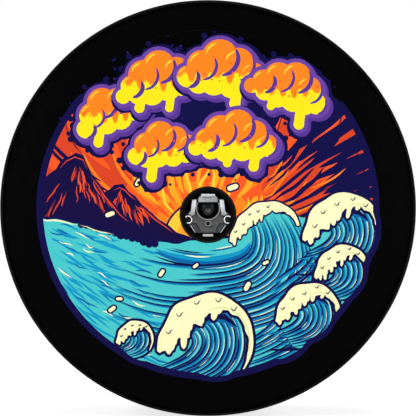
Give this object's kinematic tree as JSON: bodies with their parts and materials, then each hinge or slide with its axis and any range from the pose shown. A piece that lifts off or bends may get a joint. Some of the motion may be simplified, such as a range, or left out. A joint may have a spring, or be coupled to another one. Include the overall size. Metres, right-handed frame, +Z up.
{
  "type": "spare tyre cover",
  "caption": "Soft vinyl spare-wheel cover with a printed face, elastic rear hem and a round port that a tilting rear-view camera on its own post looks through.",
  "frame": {"origin": "centre of the tyre that the cover is stretched over: on the axle, midway between the two sidewalls", "axes": "+Y along the axle towards the vehicle, so the printed face looks along -Y; +Z is up as worn, with the camera port just below centre; +X is to the right as seen from behind the vehicle"},
  "size_m": [0.8184, 0.2608, 0.8184],
  "materials": {
    "printed_vinyl": "satin coated vinyl with a printed picture",
    "black_vinyl": "satin grained coated vinyl",
    "piping_vinyl": "glossy vinyl",
    "piping_cord": "twisted filler cord",
    "binding_tape": "woven tape",
    "elastic_rope": "braided sheath over rubber strands",
    "ferrule_steel": "crimped zinc plate",
    "eyelet_metal": "black oxide",
    "port_rubber": "satin rubber binding",
    "stiffener_board": "sheet plastic",
    "shroud_plastic": "fine moulded texture",
    "cast_grey": "as-cast, dark grey",
    "chin_plastic": "moulded, dark grey",
    "clip_steel": "pressed spring steel",
    "cap_plastic": "light grey moulding",
    "latch_metal": "polished plate",
    "badge_blank": "plain white label",
    "screw_steel": "machined",
    "washer_steel": "bright zinc",
    "post_steel": "black powder coat",
    "gland_nylon": "moulded nylon",
    "head_plastic": "satin moulding",
    "seal_rubber": "moulded seal",
    "barrel_metal": "black anodised",
    "lens_glass": "coated lens",
    "sensor_glass": "image sensor package",
    "board_green": "circuit board lacquer",
    "pin_steel": "ground steel"
  },
  "bodies": {
    "camera_mount": {"camera_shroud": "shroud_plastic", "camera_bracket": "cast_grey", "arm_cap_left": "cap_plastic", "arm_cap_right": "cap_plastic", "side_hooks": "latch_metal", "chin_cover": "chin_plastic", "chin_screw": "screw_steel", "corner_clip_left": "clip_steel", "corner_clip_right": "clip_steel", "bridge_cap": "cap_plastic", "latch_bar": "latch_metal", "blank_badge": "badge_blank", "side_screws": "screw_steel", "side_washers": "washer_steel", "bracket_screws": "screw_steel", "cable_gland": "gland_nylon", "gland_nut": "gland_nylon", "post_head_plate": "post_steel", "post_tube": "post_steel", "post_gussets": "post_steel", "post_flange": "post_steel", "pivot_washers": "washer_steel"},
    "cover": {"front_panel": "printed_vinyl", "side_band": "black_vinyl", "band_joint_strip": "black_vinyl", "rear_skirt": "black_vinyl", "piping_cover": "piping_vinyl", "piping_core": "piping_cord", "front_seam_binding": "binding_tape", "rear_seam_binding": "binding_tape", "rear_seam_tape": "binding_tape", "hem_casing": "black_vinyl", "elastic_cord": "elastic_rope", "elastic_ferrule": "ferrule_steel", "drain_eyelets": "eyelet_metal", "drain_eyelet_washers": "eyelet_metal", "lock_eyelets": "eyelet_metal", "lock_eyelet_washers": "eyelet_metal", "port_binding": "port_rubber", "port_stiffener": "stiffener_board"},
    "camera_head": {"head_front_shell": "head_plastic", "head_rear_shell": "head_plastic", "head_seal": "seal_rubber", "head_cable_grommet": "seal_rubber", "lens_barrel": "barrel_metal", "lens_retainer": "barrel_metal", "lens_glass": "lens_glass", "rear_element": "lens_glass", "image_sensor": "sensor_glass", "sensor_board": "board_green", "pivot_pins": "pin_steel"}
  },
  "joints": [
    {"name": "cover_pull_off", "type": "slide", "parent": "camera_mount", "child": "cover", "axis": [0, -1, 0], "range_m": [0, 0.3]},
    {"name": "camera_tilt", "type": "hinge", "parent": "camera_mount", "child": "camera_head", "pos_m": [0, -0.1, 0], "axis": [1, 0, 0], "range_deg": [-12, 12]}
  ]
}
